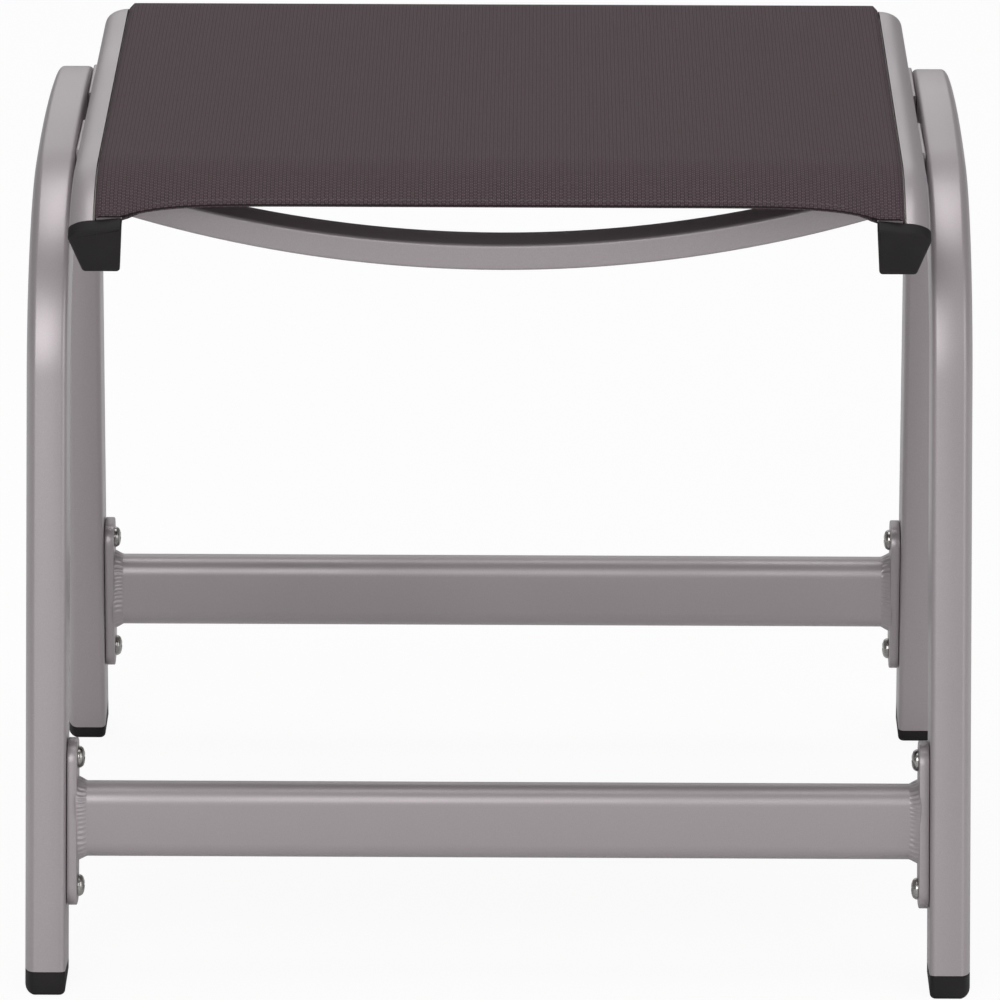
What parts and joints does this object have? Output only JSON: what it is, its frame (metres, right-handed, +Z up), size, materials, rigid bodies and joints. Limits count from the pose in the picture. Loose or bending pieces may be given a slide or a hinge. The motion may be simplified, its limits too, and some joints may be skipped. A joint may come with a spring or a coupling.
{
  "type": "ottoman footstool",
  "caption": "Outdoor ottoman footstool with a woven sling seat between curved rails on an aluminium frame of leaning, arched side tubes.",
  "frame": {"origin": "on the floor, in the middle of the four feet", "axes": "+X to the right side frame as seen from the front, +Y to the rear, +Z up"},
  "size_m": [0.471, 0.4394, 0.4144],
  "materials": {
    "silver_frame": "satin silver powder coat",
    "black_plastic": "matt moulded",
    "bright_steel": "bright zinc plated",
    "rod_plastic": "extruded",
    "sling_fabric": "woven coated textile, fine ribs"
  },
  "bodies": {
    "root": {"side_frame_left": "silver_frame", "seat_rail_left": "silver_frame", "hem_rod_left": "rod_plastic", "side_frame_right": "silver_frame", "seat_rail_right": "silver_frame", "hem_rod_right": "rod_plastic", "cross_rail_front": "silver_frame", "spreader_bar_front": "silver_frame", "cross_rail_rear": "silver_frame", "spreader_bar_rear": "silver_frame", "foot_cap_front_left": "black_plastic", "mounting_plate_front_left": "silver_frame", "rail_end_cap_front_left": "black_plastic", "spacer_front_left": "silver_frame", "spreader_plug_front_left": "black_plastic", "foot_cap_rear_left": "black_plastic", "mounting_plate_rear_left": "silver_frame", "rail_end_cap_rear_left": "black_plastic", "spacer_rear_left": "silver_frame", "spreader_plug_rear_left": "black_plastic", "foot_cap_front_right": "black_plastic", "mounting_plate_front_right": "silver_frame", "rail_end_cap_front_right": "black_plastic", "spacer_front_right": "silver_frame", "spreader_plug_front_right": "black_plastic", "foot_cap_rear_right": "black_plastic", "mounting_plate_rear_right": "silver_frame", "rail_end_cap_rear_right": "black_plastic", "spacer_rear_right": "silver_frame", "spreader_plug_rear_right": "black_plastic", "plate_screw_front_left_upper": "bright_steel", "plate_rivet_nut_front_left_upper": "bright_steel", "plate_screw_front_left_lower": "bright_steel", "plate_rivet_nut_front_left_lower": "bright_steel", "seat_bolt_front_left": "bright_steel", "seat_rivet_nut_front_left": "bright_steel", "plate_screw_rear_left_upper": "bright_steel", "plate_rivet_nut_rear_left_upper": "bright_steel", "plate_screw_rear_left_lower": "bright_steel", "plate_rivet_nut_rear_left_lower": "bright_steel", "seat_bolt_rear_left": "bright_steel", "seat_rivet_nut_rear_left": "bright_steel", "plate_screw_front_right_upper": "bright_steel", "plate_rivet_nut_front_right_upper": "bright_steel", "plate_screw_front_right_lower": "bright_steel", "plate_rivet_nut_front_right_lower": "bright_steel", "seat_bolt_front_right": "bright_steel", "seat_rivet_nut_front_right": "bright_steel", "plate_screw_rear_right_upper": "bright_steel", "plate_rivet_nut_rear_right_upper": "bright_steel", "plate_screw_rear_right_lower": "bright_steel", "plate_rivet_nut_rear_right_lower": "bright_steel", "seat_bolt_rear_right": "bright_steel", "seat_rivet_nut_rear_right": "bright_steel", "sling": "sling_fabric"}
  },
  "joints": []
}
